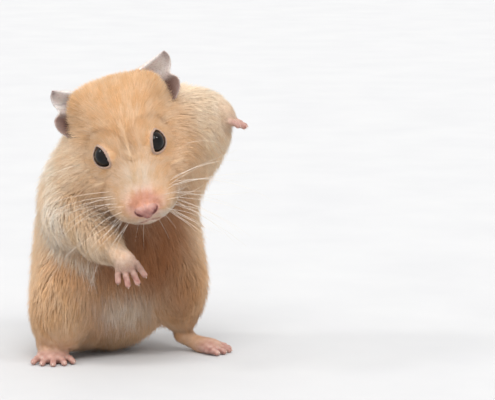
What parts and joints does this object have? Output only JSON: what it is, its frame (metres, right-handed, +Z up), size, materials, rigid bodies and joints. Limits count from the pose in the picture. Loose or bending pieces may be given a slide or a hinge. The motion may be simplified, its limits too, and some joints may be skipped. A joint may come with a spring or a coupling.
{
  "type": "syrian hamster figure",
  "caption": "Life-size Syrian hamster standing upright on its hind feet, head tipped to one side, one forepaw raised against its chest and the other held out to lean.",
  "frame": {"origin": "centre of the footprint of the bounding box, on the floor the feet stand on", "axes": "+Z up; the chest and face look towards -Y; the animal's own left is +X"},
  "size_m": [0.0664, 0.0648, 0.0909],
  "materials": {
    "fur_gold": "apricot-gold coat",
    "ear_grey": "thin grey ear skin with pale hairs",
    "skin_pink": "bare pink skin",
    "eye_black": "moist black eye"
  },
  "bodies": {
    "root": {"head": "fur_gold", "neck": "fur_gold", "trunk": "fur_gold", "tail": "skin_pink", "foreleg_left": "fur_gold", "foreleg_right": "fur_gold", "hindleg_left": "fur_gold", "hindleg_right": "fur_gold", "forepaw_left": "skin_pink", "forepaw_right": "skin_pink", "hindpaw_left": "skin_pink", "hindpaw_right": "skin_pink", "ear_left": "ear_grey", "ear_right": "ear_grey", "eye_left": "eye_black", "eye_right": "eye_black", "nose": "skin_pink"}
  },
  "joints": []
}
